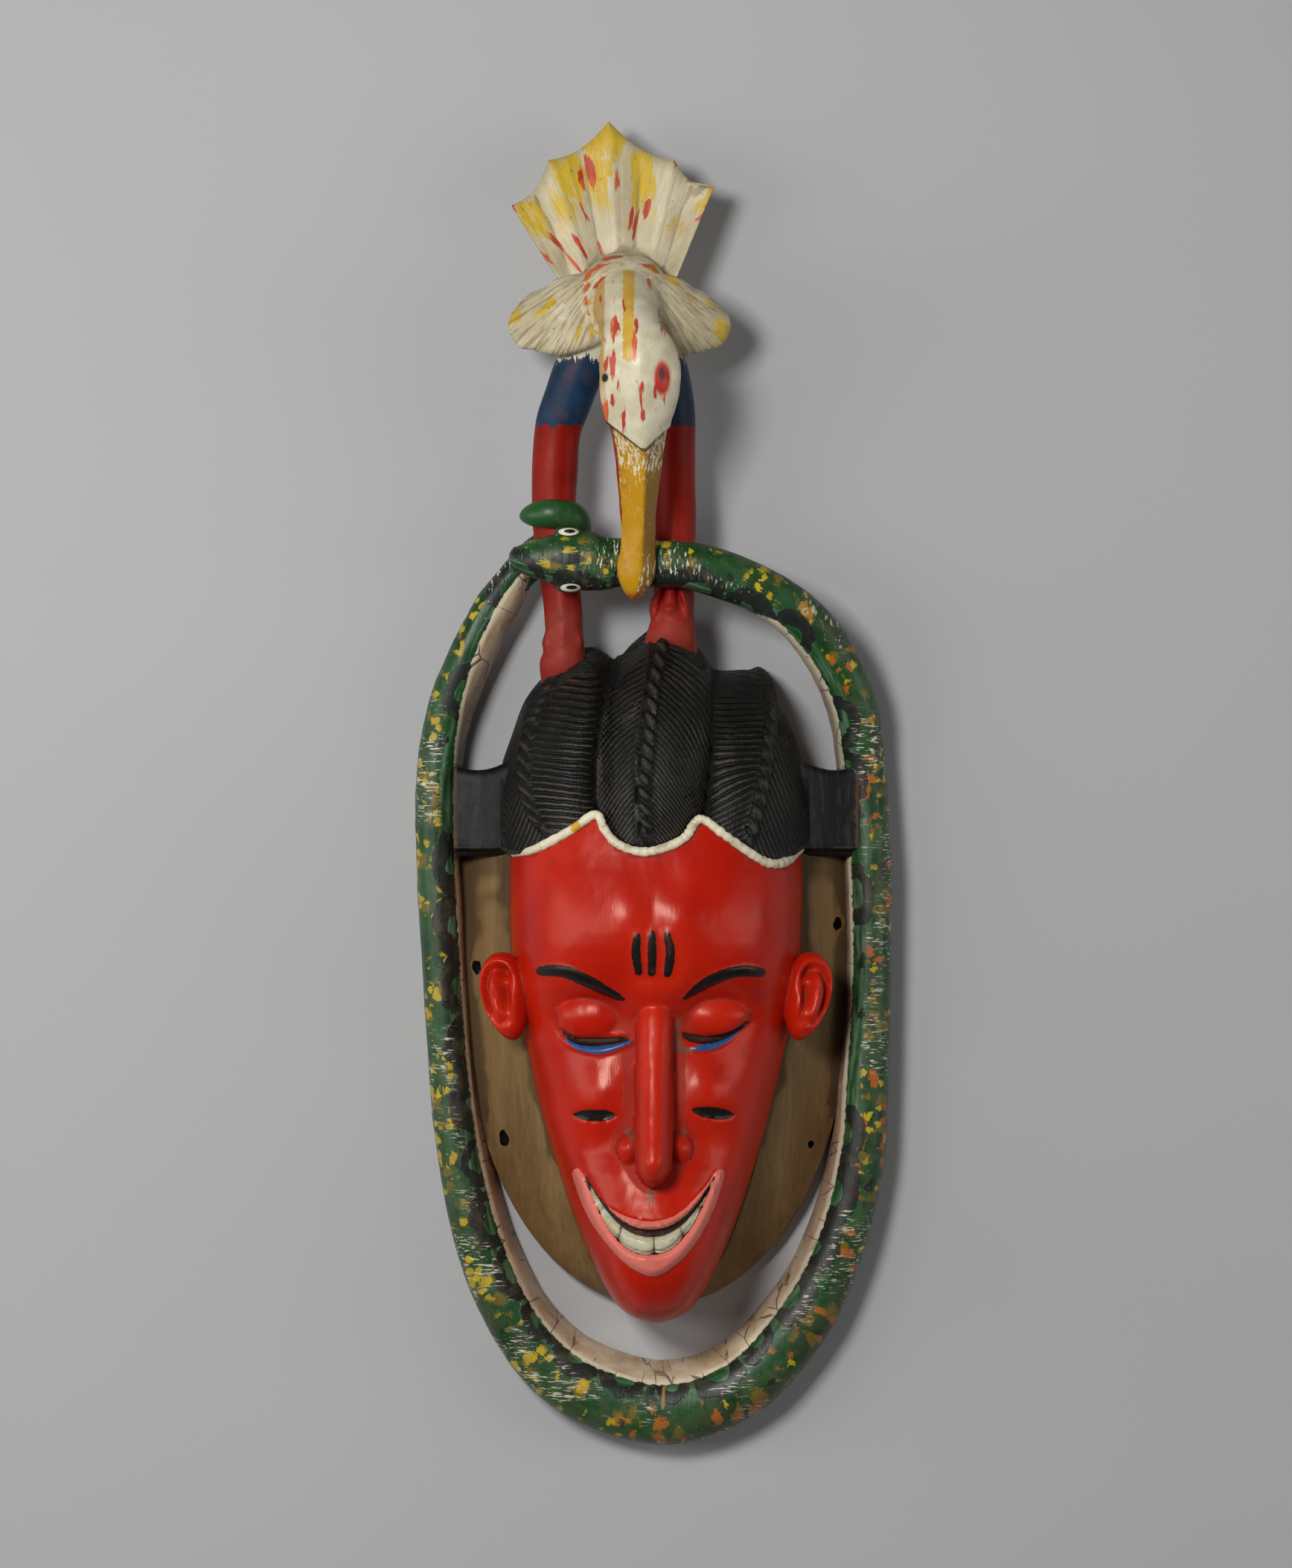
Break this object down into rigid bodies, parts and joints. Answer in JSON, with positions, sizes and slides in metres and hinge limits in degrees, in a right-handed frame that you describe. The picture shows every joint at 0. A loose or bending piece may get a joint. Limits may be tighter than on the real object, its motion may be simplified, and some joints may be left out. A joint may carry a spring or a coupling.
{
  "type": "zaouli mask",
  "caption": "Carved and painted wooden face mask with rolled hair, a wide lacing collar, a snake ringing it and a long-beaked bird standing on top.",
  "frame": {"origin": "on the surface that the mask lies on, under the middle of its bounding box", "axes": "+Z out of the face, away from the surface it lies on; +Y from the chin towards the bird; +X to the viewer's right"},
  "size_m": [0.2692, 0.7452, 0.138],
  "materials": {
    "painted_wood": "glossy enamel paint over carved wood, bare on the collar"
  },
  "bodies": {
    "root": {"carved_mask": "painted_wood"}
  },
  "joints": []
}
